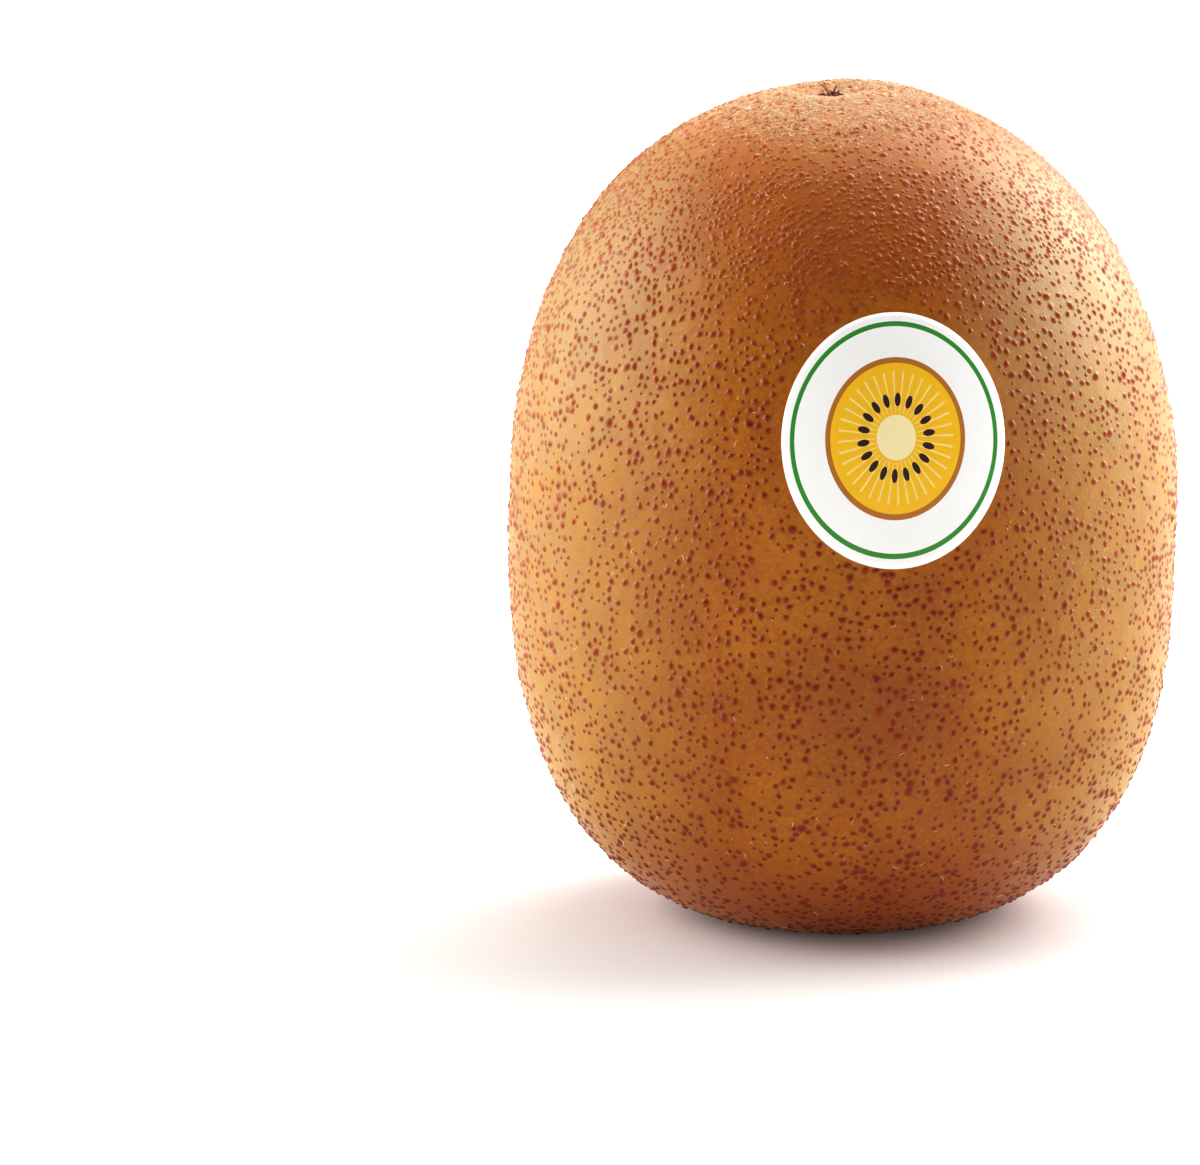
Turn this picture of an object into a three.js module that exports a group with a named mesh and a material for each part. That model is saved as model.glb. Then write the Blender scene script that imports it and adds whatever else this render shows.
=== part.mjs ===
// A whole golden kiwi fruit standing on its stem end, with a plain oval paper label on its front.
// Units are millimetres and +Z is up. The origin is the middle of the flat spot that the fruit stands on,
// and the label faces -Y.
import * as THREE from "three";
import { ConvexHull } from "three/addons/math/ConvexHull.js";

// The fruit's body: two half superellipsoids, with rounded-square outlines, that meet at the widest ring.
const FRUIT_WIDTH = 55; // along X, without the warts
const FRUIT_DEPTH = 53; // along Y
const FRUIT_HEIGHT = 69;
const WIDEST_HEIGHT = 34; // height of the widest ring above the surface it stands on
const CROWN_POWER = 2.17; // 2 is an ellipse, and more is squarer
const BASE_POWER = 2.75;
const FLAT_SINK = 1.1; // how much of the rounded base is pressed flat
const FLAT_RIM_POINTS = 36;
const FLAT_RIM_INSET = 0.99; // share of the flat spot's reach at which its rim is drawn, so that it lies flat

// The uneven growth of a real fruit, as shares of the distance from its middle to its skin.
const SQUARE_SHARE = 0.006; // four faint corners round its waist
const LEAN_SHARE = 0.016; // one fuller side of the crown
const LEAN_TOWARDS = 3; // radians from +X to that side, so at -X
const WAVE_SHARE = 0.004; // three slow waves round its waist
const WAVE_START = 1.1; // radians
const WAVE_CLIMB = 5; // how fast the waves change with height

// The blossom end, at the top: a shallow dimple with the nub that the dried styles leave.
const BLOSSOM_X = -1;
const BLOSSOM_Y = -0.6;
const BLOSSOM_DIMPLE_RADIUS = 4.2;
const BLOSSOM_DIMPLE_DEPTH = 0.9;
const SHOULDER_X = 3; // the side of the dimple's rim that stands highest
const SHOULDER_Y = 2;
const SHOULDER_RADIUS = 8;
const SHOULDER_RISE = 0.4;
const NUB_RADIUS = 0.7;
const NUB_HEIGHT = 1.1;
const NUB_POINTS = 7;
const NUB_TWIST = 0.4; // radians that its crown is turned against its foot

// The stem end, at the bottom: a dimple inside the flat spot, with the round woody scar of the stalk.
const STEM_DIMPLE_RADIUS = 5.2;
const STEM_DIMPLE_DEPTH = 1.7;
const SCAR_RADIUS = 2.3;
const SCAR_STAND = 0.8; // how far the scar stands out of the floor of its dimple
const SCAR_EDGE = 0.6; // share of the scar's radius where its edge starts to fall away
const SCAR_RINGS = [0.45, 0.85, 1.1]; // shares of the scar's radius
const DIMPLE_RINGS = [0.62, 0.8, 1.03]; // shares of the dimple's radius
const RING_POINTS = 16;

// The warts (lenticels) that cover the skin, fewer and larger than the real ones.
const WART_COUNT = 620; // places tried
const WART_SIDES = 6;
const WART_RADIUS_LEAST = 0.6;
const WART_RADIUS_MOST = 1;
const WART_RISE = 0.5; // height as a share of the radius
const WART_JITTER = 1.05; // how far a wart may stray from its even place
const WART_CLEARANCE = 1.05; // between the rims of two warts, as a share of their radii
const WART_LOWEST = 1.1; // height under which the skin stays smooth, so that only the flat spot touches
const SEED = 20261;

// The label: an oval of paper that follows the skin.
const LABEL_WIDTH = 18.5;
const LABEL_HEIGHT = 20.5;
const LABEL_THICKNESS = 0.3;
const LABEL_GAP = 0.3; // between the skin and the back of the label
const LABEL_CENTRE_HEIGHT = 45;
const LABEL_AZIMUTH = 8; // degrees from -Y towards +X
const LABEL_TURN = -4; // degrees, clockwise as seen from the front
const LABEL_RINGS = 5;
const LABEL_SEGMENTS = 48;
const LABEL_MARGIN = 1.3; // skin kept smooth round the label
const BED_RINGS = 5; // rings of skin points under the label, the last of them just outside its edge
const BED_STEP = 2 / 9; // between those rings, as a share of the label's reach
const BED_POINTS = 8; // more points in each ring than in the one inside it
const BED_TWIST = 0.3; // points that each ring is turned by, so that its points fall between its neighbour's

const GOLDEN_ANGLE = Math.PI * (3 - Math.sqrt(5));
const SLOPE_STEP = 1e-3; // how far apart, as directions, the points are that a normal is measured from
const LATITUDE_STEPS = 400;

// A seeded random draw from 0 to 1, the same on every run.
function makeRandom(seed) {
  let state = seed;
  return () => {
    state = (state * 1664525 + 1013904223) % 4294967296;
    return state / 4294967296;
  };
}

// 1 in the middle and 0 from the rim outwards, with no slope at either.
function bell(share) {
  const inside = THREE.MathUtils.clamp(1 - share, 0, 1);
  return inside * inside * (3 - 2 * inside);
}

// The slow bulges that keep the fruit from being a perfect solid of revolution.
function growth(direction) {
  const around = Math.atan2(direction.y, direction.x);
  const level = Math.hypot(direction.x, direction.y);
  const square = SQUARE_SHARE * Math.cos(4 * around) * level ** 4;
  const lean = LEAN_SHARE * Math.cos(around - LEAN_TOWARDS) * level * Math.max(direction.z, 0) ** 2;
  const wave = WAVE_SHARE * Math.sin(3 * around + WAVE_START) * level ** 3 * Math.sin(WAVE_CLIMB * direction.z);
  return 1 + square + lean + wave;
}

// The skin without its warts, in the direction given, seen from the middle of the widest ring.
function skinPoint(direction) {
  const isCrown = direction.z >= 0;
  const power = isCrown ? CROWN_POWER : BASE_POWER;
  const halfHeight = isCrown ? FRUIT_HEIGHT - WIDEST_HEIGHT : WIDEST_HEIGHT + FLAT_SINK;
  const across = Math.hypot(direction.x / (FRUIT_WIDTH / 2), direction.y / (FRUIT_DEPTH / 2));
  const along = Math.abs(direction.z) / halfHeight;
  const reach = (across ** power + along ** power) ** (-1 / power);
  const point = direction.clone().multiplyScalar(reach * growth(direction));
  point.z += WIDEST_HEIGHT;
  if (isCrown) {
    const fromBlossom = Math.hypot(point.x - BLOSSOM_X, point.y - BLOSSOM_Y);
    const fromShoulder = Math.hypot(point.x - SHOULDER_X, point.y - SHOULDER_Y);
    point.z += SHOULDER_RISE * bell(fromShoulder / SHOULDER_RADIUS);
    point.z -= BLOSSOM_DIMPLE_DEPTH * bell(fromBlossom / BLOSSOM_DIMPLE_RADIUS);
  } else if (point.z < 0) {
    const fromAxis = Math.hypot(point.x, point.y);
    point.z = STEM_DIMPLE_DEPTH * bell(fromAxis / STEM_DIMPLE_RADIUS);
    point.z -= SCAR_STAND * bell((fromAxis / SCAR_RADIUS - SCAR_EDGE) / SCAR_EDGE);
  }
  return point;
}

// Two directions at right angles to the one given.
function sideways(direction) {
  const helper = Math.abs(direction.z) > 0.9 ? new THREE.Vector3(1, 0, 0) : new THREE.Vector3(0, 0, 1);
  const right = new THREE.Vector3().crossVectors(helper, direction).normalize();
  return [right, new THREE.Vector3().crossVectors(direction, right)];
}

// The skin's outward normal, measured from two points beside the one given.
function skinNormal(direction) {
  const [right, up] = sideways(direction);
  const here = skinPoint(direction);
  const beside = (step) => skinPoint(direction.clone().addScaledVector(step, SLOPE_STEP).normalize()).sub(here);
  return new THREE.Vector3().crossVectors(beside(right), beside(up)).normalize();
}

// The direction from the middle of the widest ring to a point.
function directionTo(x, y, z) {
  return new THREE.Vector3(x, y, z - WIDEST_HEIGHT).normalize();
}

// The middle of the label, with the axes along its width and its height.
function labelFrame() {
  const azimuth = THREE.MathUtils.degToRad(LABEL_AZIMUTH);
  const lift = LABEL_CENTRE_HEIGHT - WIDEST_HEIGHT;
  const direction = new THREE.Vector3(Math.sin(azimuth), -Math.cos(azimuth), 0)
    .multiplyScalar(FRUIT_DEPTH / 2)
    .setZ(lift)
    .normalize();
  const centre = skinPoint(direction);
  const normal = skinNormal(direction);
  const right = new THREE.Vector3(0, 0, 1).cross(normal).normalize();
  const up = new THREE.Vector3().crossVectors(normal, right);
  const turn = new THREE.Quaternion().setFromAxisAngle(normal, THREE.MathUtils.degToRad(LABEL_TURN));
  right.applyQuaternion(turn);
  up.applyQuaternion(turn);
  return { centre, normal, right, up };
}

const label = labelFrame();

// The direction of the skin point that a place on the flat label comes to lie over, so that lengths are kept.
function underLabel(across, along) {
  const angle = Math.hypot(across, along) / label.centre.distanceTo(new THREE.Vector3(0, 0, WIDEST_HEIGHT));
  const stretch = angle > 0 ? Math.tan(angle) / angle : 1;
  const point = label.centre
    .clone()
    .addScaledVector(label.right, across * stretch)
    .addScaledVector(label.up, along * stretch);
  return directionTo(point.x, point.y, point.z);
}

// 1 on the label's edge, less inside it and more outside it.
function labelShare(point, margin) {
  const offset = point.clone().sub(label.centre);
  if (offset.dot(label.normal) < -FRUIT_DEPTH / 2) return Infinity;
  const across = offset.dot(label.right) / (LABEL_WIDTH / 2 + margin);
  const along = offset.dot(label.up) / (LABEL_HEIGHT / 2 + margin);
  return Math.hypot(across, along);
}

// Sines of the latitude that share the body's area out evenly, from its bottom to its top.
function evenLatitudes(count) {
  const areas = [0];
  const latitude = (step) => -Math.PI / 2 + (Math.PI * step) / LATITUDE_STEPS;
  const at = (step) => skinPoint(new THREE.Vector3(Math.cos(latitude(step)), 0, Math.sin(latitude(step))));
  for (let step = 0; step < LATITUDE_STEPS; step++) {
    const low = at(step);
    const high = at(step + 1);
    areas.push(areas[step] + (low.x + high.x) * low.distanceTo(high));
  }
  const whole = areas[LATITUDE_STEPS];
  let step = 0;
  return Array.from({ length: count }, (_, index) => {
    const wanted = (whole * (index + 0.5)) / count;
    while (areas[step + 1] < wanted) step++;
    const share = (wanted - areas[step]) / (areas[step + 1] - areas[step]);
    return Math.sin(latitude(step + share));
  });
}

// The warts' middles and radii: a sunflower spiral round the fruit, with each wart moved a little at random.
function placeWarts() {
  const random = makeRandom(SEED);
  const warts = [];
  evenLatitudes(WART_COUNT).forEach((height, index) => {
    const around = index * GOLDEN_ANGLE;
    const level = Math.sqrt(1 - height * height);
    const even = new THREE.Vector3(level * Math.cos(around), level * Math.sin(around), height);
    const [right, up] = sideways(even);
    const stray = () => ((random() - 0.5) * 2 * WART_JITTER) / WIDEST_HEIGHT;
    const direction = even.addScaledVector(right, stray()).addScaledVector(up, stray()).normalize();
    const radius = THREE.MathUtils.lerp(WART_RADIUS_LEAST, WART_RADIUS_MOST, random() ** 2);
    const centre = skinPoint(direction);
    const isLow = centre.z < WART_LOWEST;
    const isUnderLabel = labelShare(centre, LABEL_MARGIN + radius) < 1;
    const fromBlossom = Math.hypot(centre.x - BLOSSOM_X, centre.y - BLOSSOM_Y);
    const isInDimple = centre.z > WIDEST_HEIGHT && fromBlossom < NUB_RADIUS + 2 * radius;
    const isCrowded = warts.some(
      (other) => other.centre.distanceTo(centre) < (other.radius + radius) * WART_CLEARANCE,
    );
    if (isLow || isUnderLabel || isInDimple || isCrowded) return;
    warts.push({ direction, centre, radius });
  });
  return warts;
}

// One wart as surface points: a ring on the skin and a raised middle.
function wartPoints({ direction, centre, radius }, startAngle) {
  const [right, up] = sideways(direction);
  const points = [{ direction, lift: radius * WART_RISE }];
  for (let side = 0; side < WART_SIDES; side++) {
    const angle = startAngle + (2 * Math.PI * side) / WART_SIDES;
    const rim = centre
      .clone()
      .addScaledVector(right, radius * Math.cos(angle))
      .addScaledVector(up, radius * Math.sin(angle));
    points.push({ direction: directionTo(rim.x, rim.y, rim.z), lift: 0 });
  }
  return points;
}

// Points on the skin in a level ring of the given radii, seen from above or from below.
function levelRing(centreX, centreY, radiusX, radiusY, height, count, startAngle) {
  return Array.from({ length: count }, (_, index) => {
    const angle = startAngle + (2 * Math.PI * index) / count;
    const x = centreX + radiusX * Math.cos(angle);
    const y = centreY + radiusY * Math.sin(angle);
    return { direction: directionTo(x, y, height), lift: 0 };
  });
}

// The rim of the flat spot, with the stem dimple and the stalk's scar inside it.
function stemEndPoints() {
  const rimShare = (1 - (WIDEST_HEIGHT / (WIDEST_HEIGHT + FLAT_SINK)) ** BASE_POWER) ** (1 / BASE_POWER);
  const radiusX = (FRUIT_WIDTH / 2) * rimShare * FLAT_RIM_INSET;
  const radiusY = (FRUIT_DEPTH / 2) * rimShare * FLAT_RIM_INSET;
  const points = levelRing(0, 0, radiusX, radiusY, 0, FLAT_RIM_POINTS, 0);
  const radii = SCAR_RINGS.map((share) => share * SCAR_RADIUS);
  radii.push(...DIMPLE_RINGS.map((share) => share * STEM_DIMPLE_RADIUS));
  radii.forEach((radius, index) => {
    const startAngle = (Math.PI / RING_POINTS) * (index % 2);
    points.push(...levelRing(0, 0, radius, radius, -FLAT_SINK, RING_POINTS, startAngle));
  });
  points.push({ direction: new THREE.Vector3(0, 0, -1), lift: 0 });
  return points;
}

// The nub of dried styles in the blossom dimple: a small crown of uneven points.
function blossomPoints() {
  const random = makeRandom(SEED + 1);
  const ringOf = (radius, twist) =>
    levelRing(BLOSSOM_X, BLOSSOM_Y, radius, radius, FRUIT_HEIGHT, NUB_POINTS, twist);
  const foot = ringOf(NUB_RADIUS, 0);
  const crown = ringOf(NUB_RADIUS / 2, NUB_TWIST);
  crown.forEach((point) => {
    point.lift = THREE.MathUtils.lerp(NUB_HEIGHT / 2, NUB_HEIGHT, random());
  });
  const middle = { direction: directionTo(BLOSSOM_X, BLOSSOM_Y, FRUIT_HEIGHT), lift: NUB_HEIGHT / 2 };
  return [...foot, ...crown, middle];
}

// A smooth bed of skin under the label.
function labelBedPoints() {
  const points = [{ direction: underLabel(0, 0), lift: 0 }];
  for (let ring = 1; ring <= BED_RINGS; ring++) {
    const share = ring * BED_STEP;
    const count = BED_POINTS * ring;
    for (let index = 0; index < count; index++) {
      const angle = (2 * Math.PI * (index + BED_TWIST * ring)) / count;
      const across = (LABEL_WIDTH / 2) * share * Math.cos(angle);
      const along = (LABEL_HEIGHT / 2) * share * Math.sin(angle);
      points.push({ direction: underLabel(across, along), lift: 0 });
    }
  }
  return points;
}

// The fruit's skin, joined into one closed surface by the hull of the points' directions.
function fruitGeometry() {
  const random = makeRandom(SEED + 2);
  const points = [...stemEndPoints(), ...blossomPoints(), ...labelBedPoints()];
  for (const wart of placeWarts()) points.push(...wartPoints(wart, random() * Math.PI));

  const indexOf = new Map();
  const positions = [];
  points.forEach(({ direction, lift }, index) => {
    indexOf.set(direction, index);
    const place = skinPoint(direction);
    if (lift) place.addScaledVector(skinNormal(direction), lift);
    positions.push(place.x, place.y, place.z);
  });

  const triangles = [];
  for (const face of new ConvexHull().setFromPoints(points.map((point) => point.direction)).faces) {
    let edge = face.edge;
    do {
      triangles.push(indexOf.get(edge.head().point));
      edge = edge.next;
    } while (edge !== face.edge);
  }
  const geometry = new THREE.BufferGeometry();
  geometry.setAttribute("position", new THREE.Float32BufferAttribute(positions, 3));
  geometry.setIndex(triangles);
  geometry.computeVertexNormals();
  return geometry;
}

// A closed oval sheet: its back lies over the skin, and its front stands off by the paper's thickness.
function labelGeometry() {
  const positions = [];
  const layerOf = (height) => {
    const first = positions.length / 3;
    const add = (across, along) => {
      const direction = underLabel(across, along);
      const place = skinPoint(direction).addScaledVector(skinNormal(direction), height);
      positions.push(place.x, place.y, place.z);
    };
    add(0, 0);
    for (let ring = 1; ring <= LABEL_RINGS; ring++) {
      for (let index = 0; index < LABEL_SEGMENTS; index++) {
        const angle = (2 * Math.PI * index) / LABEL_SEGMENTS;
        const share = ring / LABEL_RINGS;
        add((LABEL_WIDTH / 2) * share * Math.cos(angle), (LABEL_HEIGHT / 2) * share * Math.sin(angle));
      }
    }
    return first;
  };
  const back = layerOf(LABEL_GAP);
  const front = layerOf(LABEL_GAP + LABEL_THICKNESS);
  const at = (layer, ring, index) => layer + 1 + (ring - 1) * LABEL_SEGMENTS + (index % LABEL_SEGMENTS);

  const triangles = [];
  for (let index = 0; index < LABEL_SEGMENTS; index++) {
    triangles.push(front, at(front, 1, index), at(front, 1, index + 1));
    triangles.push(back, at(back, 1, index + 1), at(back, 1, index));
    for (let ring = 1; ring < LABEL_RINGS; ring++) {
      const quad = (layer) => [
        at(layer, ring, index),
        at(layer, ring + 1, index),
        at(layer, ring + 1, index + 1),
        at(layer, ring, index + 1),
      ];
      const [a, b, c, d] = quad(front);
      triangles.push(a, b, c, a, c, d);
      const [e, f, g, h] = quad(back);
      triangles.push(e, g, f, e, h, g);
    }
    const frontEdge = [at(front, LABEL_RINGS, index), at(front, LABEL_RINGS, index + 1)];
    const backEdge = [at(back, LABEL_RINGS, index), at(back, LABEL_RINGS, index + 1)];
    triangles.push(frontEdge[0], backEdge[0], backEdge[1], frontEdge[0], backEdge[1], frontEdge[1]);
  }
  const geometry = new THREE.BufferGeometry();
  geometry.setAttribute("position", new THREE.Float32BufferAttribute(positions, 3));
  geometry.setIndex(triangles);
  geometry.computeVertexNormals();
  return geometry;
}

const skinMaterial = new THREE.MeshStandardMaterial({ color: 0xb9793a, roughness: 0.5, metalness: 0 });
const paperMaterial = new THREE.MeshStandardMaterial({ color: 0xf6f4ee, roughness: 0.4, metalness: 0 });

const fruit = new THREE.Mesh(fruitGeometry(), skinMaterial);
fruit.name = "fruit";

const paperLabel = new THREE.Mesh(labelGeometry(), paperMaterial);
paperLabel.name = "label";

const kiwi = new THREE.Group();
kiwi.add(fruit, paperLabel);

export default kiwi;
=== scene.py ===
# %% [markdown]
# # A golden kiwi fruit
#
# A kiwi fruit looks plain from far away. Close up it is a warm translucent skin, thousands of little
# warts that catch the light, a few fine hairs and a dry tuft where the flower was. This file makes each
# of those in turn. The solid model gives the size and the place, and everything here is fitted to it.

# %% Load the solid model
import math
import random

import bmesh
import bpy
import numpy as np
from mathutils import Matrix, Vector, noise


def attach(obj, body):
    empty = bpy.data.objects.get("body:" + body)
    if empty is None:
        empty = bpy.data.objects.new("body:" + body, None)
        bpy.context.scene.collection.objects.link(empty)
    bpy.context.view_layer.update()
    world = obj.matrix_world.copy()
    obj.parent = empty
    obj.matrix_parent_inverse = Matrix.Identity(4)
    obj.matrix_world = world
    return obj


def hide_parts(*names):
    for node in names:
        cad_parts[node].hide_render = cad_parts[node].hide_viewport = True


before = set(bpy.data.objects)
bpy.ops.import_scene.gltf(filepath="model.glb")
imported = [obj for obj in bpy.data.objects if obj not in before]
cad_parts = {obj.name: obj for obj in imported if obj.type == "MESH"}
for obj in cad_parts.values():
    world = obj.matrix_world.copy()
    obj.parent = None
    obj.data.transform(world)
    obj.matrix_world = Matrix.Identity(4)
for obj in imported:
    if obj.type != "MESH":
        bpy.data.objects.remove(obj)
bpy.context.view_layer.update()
MM = 0.001
print("nodes:", sorted(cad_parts))

# %% [markdown]
# ## The camera
#
# The fruit is photographed from a little above, with a long lens, so its sides hardly converge. A long
# lens far away is also what keeps a small thing looking natural: close up, a short lens would bulge its
# middle. The fruit stands right of the middle of the picture. The camera moves sideways for that and
# keeps looking straight ahead.

# %% Place the camera
PICTURE_WIDTH_MM = 99.7
CAMERA_DISTANCE = 0.75
CAMERA_ELEVATION = math.radians(12)
AIM_MM = (-20.1, 0.0, 27.4)

camera_data = bpy.data.cameras.new("camera")
camera_data.sensor_fit = "HORIZONTAL"
camera_data.sensor_width = 36
camera_data.lens = camera_data.sensor_width * CAMERA_DISTANCE / (PICTURE_WIDTH_MM * MM)
camera = bpy.data.objects.new("camera", camera_data)
camera.location = Vector(AIM_MM) * MM + CAMERA_DISTANCE * Vector(
    (0, -math.cos(CAMERA_ELEVATION), math.sin(CAMERA_ELEVATION))
)
camera.rotation_euler = (math.pi / 2 - CAMERA_ELEVATION, 0, 0)
bpy.context.collection.objects.link(camera)
bpy.context.scene.camera = camera
print("lens, mm:", round(camera_data.lens))

# %% [markdown]
# ## Light and floor
#
# The photographer lit the fruit from both sides and from above, and left its front to the light that
# comes back from the white table. That is why its middle is a deep brown and its edges are pale. Area
# lights do the same: a large one gives a soft edge to every shadow, because the floor sees part of it
# round the fruit. The floor also glows very faintly, so that the shadow under the fruit is grey and not
# black.

# %% Light the table
def softbox(name, place, aim, size, radiance):
    """An area light at a place, facing a point, as bright per square metre whatever its size."""
    width, height = size
    data = bpy.data.lights.new(name, "AREA")
    data.shape = "RECTANGLE"
    data.size = width
    data.size_y = height
    data.energy = radiance * width * height * math.pi
    lamp = bpy.data.objects.new(name, data)
    lamp.location = place
    lamp.rotation_euler = (Vector(aim) - Vector(place)).to_track_quat("-Z", "Y").to_euler()
    lamp.visible_camera = False
    bpy.context.collection.objects.link(lamp)


FRUIT_MIDDLE = (0, 0, 0.035)
FAR_TABLE = (0, 1.0, 0)
STUDIO_WHITE = (1, 0.99, 0.97, 1)
STUDIO_STRENGTH = 0.33

softbox("left softbox", (-0.48, 0.07, 0.18), FRUIT_MIDDLE, size=(0.6, 0.6), radiance=2.8)
softbox("right softbox", (0.48, 0.19, 0.20), FRUIT_MIDDLE, size=(0.6, 0.6), radiance=1.4)
softbox("right back softbox", (0.46, 0.32, 0.38), FRUIT_MIDDLE, size=(0.7, 0.6), radiance=2.7)
softbox("top softbox", (0.12, 0.25, 0.6), FRUIT_MIDDLE, size=(0.5, 0.5), radiance=1.5)
softbox("table light", (0, 1.3, 1.1), FAR_TABLE, size=(2.4, 1.6), radiance=0.4)

world = bpy.data.worlds.new("studio")
world.use_nodes = True
background = world.node_tree.nodes["Background"]
background.inputs["Color"].default_value = STUDIO_WHITE
background.inputs["Strength"].default_value = STUDIO_STRENGTH
bpy.context.scene.world = world
bpy.context.scene.view_settings.view_transform = "Standard"
bpy.context.scene.view_settings.look = "High Contrast"
print("lights:", [item.name for item in bpy.data.lights])

# %% Lay the floor
FLOOR_HALF = 3.0
FLOOR_DROP = 0.00002
FLOOR_CORNERS = [(-1, -1), (1, -1), (1, 1), (-1, 1)]
FLOOR_WHITE = (0.84, 0.83, 0.825, 1)
FLOOR_GLOW = (1, 0.97, 0.96, 1)
FLOOR_GLOW_STRENGTH = 0.045

floor_mesh = bpy.data.meshes.new("floor")
floor_corners = [(x * FLOOR_HALF, y * FLOOR_HALF, -FLOOR_DROP) for x, y in FLOOR_CORNERS]
floor_mesh.from_pydata(floor_corners, [], [(0, 1, 2, 3)])
floor = bpy.data.objects.new("floor", floor_mesh)
bpy.context.collection.objects.link(floor)
floor_paint = bpy.data.materials.new("white table")
floor_paint.use_nodes = True
floor_shader = floor_paint.node_tree.nodes["Principled BSDF"]
floor_shader.inputs["Base Color"].default_value = FLOOR_WHITE
floor_shader.inputs["Roughness"].default_value = 0.9
floor_shader.inputs["Emission Color"].default_value = FLOOR_GLOW
floor_shader.inputs["Emission Strength"].default_value = FLOOR_GLOW_STRENGTH
floor_mesh.materials.append(floor_paint)
print("floor, m:", tuple(round(size, 2) for size in floor.dimensions))

# %% [markdown]
# ## The shape of the fruit
#
# An egg shape that is a little square in outline is called a superellipsoid: the sum of two powers stays
# at 1 all over it. One power serves the crown and another the base. Real growth is never that even, so a
# few slow waves are added, with a dimple at each end. The result is one rule that gives the skin in any
# direction, and every later piece asks that rule where it has to sit.

# %% The rule of the skin
# Lengths are in mm. A dimple is a radius and a depth, and a bulge is a radius and a height.
FRUIT_WIDTH = 55
FRUIT_DEPTH = 53
FRUIT_HEIGHT = 69
WIDEST_HEIGHT = 34
CROWN_POWER = 2.17
BASE_POWER = 2.75
FLAT_SINK = 1.1
BLOSSOM = (-1, -0.6)
BLOSSOM_DIMPLE = (4.2, 0.9)
SHOULDER = (3, 2)
SHOULDER_BULGE = (8, 0.4)
STEM_DIMPLE = (5.2, 1.7)
PROBE = 0.001


def bell(share):
    """1 in the middle and 0 from the rim outwards, with no slope at either."""
    inside = np.clip(1 - share, 0, 1)
    return inside * inside * (3 - 2 * inside)


def growth(x, y, z):
    """The slow bulges that keep the fruit from being a perfect solid of revolution."""
    around = np.arctan2(y, x)
    level = np.hypot(x, y)
    square = 0.006 * np.cos(4 * around) * level**4
    lean = 0.016 * np.cos(around - 3) * level * np.maximum(z, 0) ** 2
    wave = 0.004 * np.sin(3 * around + 1.1) * level**3 * np.sin(5 * z)
    return 1 + square + lean + wave


def skin_point(direction):
    """Points on the bare skin, in mm, in directions that start at the middle of the widest ring."""
    direction = direction / np.linalg.norm(direction, axis=-1, keepdims=True)
    x, y, z = np.moveaxis(direction, -1, 0)
    is_crown = z >= 0
    power = np.where(is_crown, CROWN_POWER, BASE_POWER)
    half_height = np.where(is_crown, FRUIT_HEIGHT - WIDEST_HEIGHT, WIDEST_HEIGHT + FLAT_SINK)
    across = np.hypot(x / (FRUIT_WIDTH / 2), y / (FRUIT_DEPTH / 2))
    reach = (across**power + (np.abs(z) / half_height) ** power) ** (-1 / power)
    point = direction * (reach * growth(x, y, z))[..., None]
    point[..., 2] += WIDEST_HEIGHT
    px, py, pz = np.moveaxis(point, -1, 0)
    dimple = BLOSSOM_DIMPLE[1] * bell(np.hypot(px - BLOSSOM[0], py - BLOSSOM[1]) / BLOSSOM_DIMPLE[0])
    bulge = SHOULDER_BULGE[1] * bell(np.hypot(px - SHOULDER[0], py - SHOULDER[1]) / SHOULDER_BULGE[0])
    pressed = STEM_DIMPLE[1] * bell(np.hypot(px, py) / STEM_DIMPLE[0])
    point[..., 2] = np.where(is_crown, pz + bulge - dimple, np.where(pz < 0, pressed, pz))
    return point


def skin_normal(direction):
    """Outward normals of the bare skin, measured from two points beside each one."""
    direction = direction / np.linalg.norm(direction, axis=-1, keepdims=True)
    helper = np.where(np.abs(direction[..., 2:]) > 0.9, [1.0, 0, 0], [0, 0, 1.0])
    right = np.cross(helper, direction)
    right /= np.linalg.norm(right, axis=-1, keepdims=True)
    up = np.cross(direction, right)
    here = skin_point(direction)
    normal = np.cross(skin_point(direction + PROBE * right) - here, skin_point(direction + PROBE * up) - here)
    return normal / np.linalg.norm(normal, axis=-1, keepdims=True)


def toward(point):
    """The direction from the middle of the widest ring to points given in mm."""
    return np.asarray(point, float) - (0, 0, WIDEST_HEIGHT)


print("top of the skin, mm:", skin_point(np.array([[0, 0, 1.0]])).round(2).tolist())

# %% [markdown]
# ## Where the label sits
#
# The label is an oval of paper stuck to the front, a little right of the middle. It has a flat frame of
# its own, like a tailor's pattern, and each point of that pattern is carried to the skin so that lengths
# are kept. The frame comes before the skin is finished, because no wart may grow under the paper.

# %% The frame of the label
LABEL_WIDTH = 18.5
LABEL_HEIGHT = 20.5
LABEL_CENTRE_HEIGHT = 45
LABEL_AZIMUTH = math.radians(8)
LABEL_TURN = math.radians(-4)
FAR_OUTSIDE = 9

label_direction = np.array(
    [
        math.sin(LABEL_AZIMUTH) * FRUIT_DEPTH / 2,
        -math.cos(LABEL_AZIMUTH) * FRUIT_DEPTH / 2,
        LABEL_CENTRE_HEIGHT - WIDEST_HEIGHT,
    ]
)
label_centre = skin_point(label_direction)
label_normal = skin_normal(label_direction)
label_right = np.cross([0, 0, 1], label_normal)
label_right /= np.linalg.norm(label_right)
turn = Matrix.Rotation(LABEL_TURN, 3, Vector(label_normal))
label_right = np.array(turn @ Vector(label_right))
label_up = np.cross(label_normal, label_right)


def under_label(across, along):
    """Directions of the skin points that places on the flat label, in mm, come to lie over."""
    angle = np.hypot(across, along) / np.linalg.norm(toward(label_centre))
    stretch = np.where(angle > 0, np.tan(angle) / np.maximum(angle, 1e-9), 1)
    sideways = np.multiply.outer(across * stretch, label_right)
    upwards = np.multiply.outer(along * stretch, label_up)
    return toward(label_centre + sideways + upwards)


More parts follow.
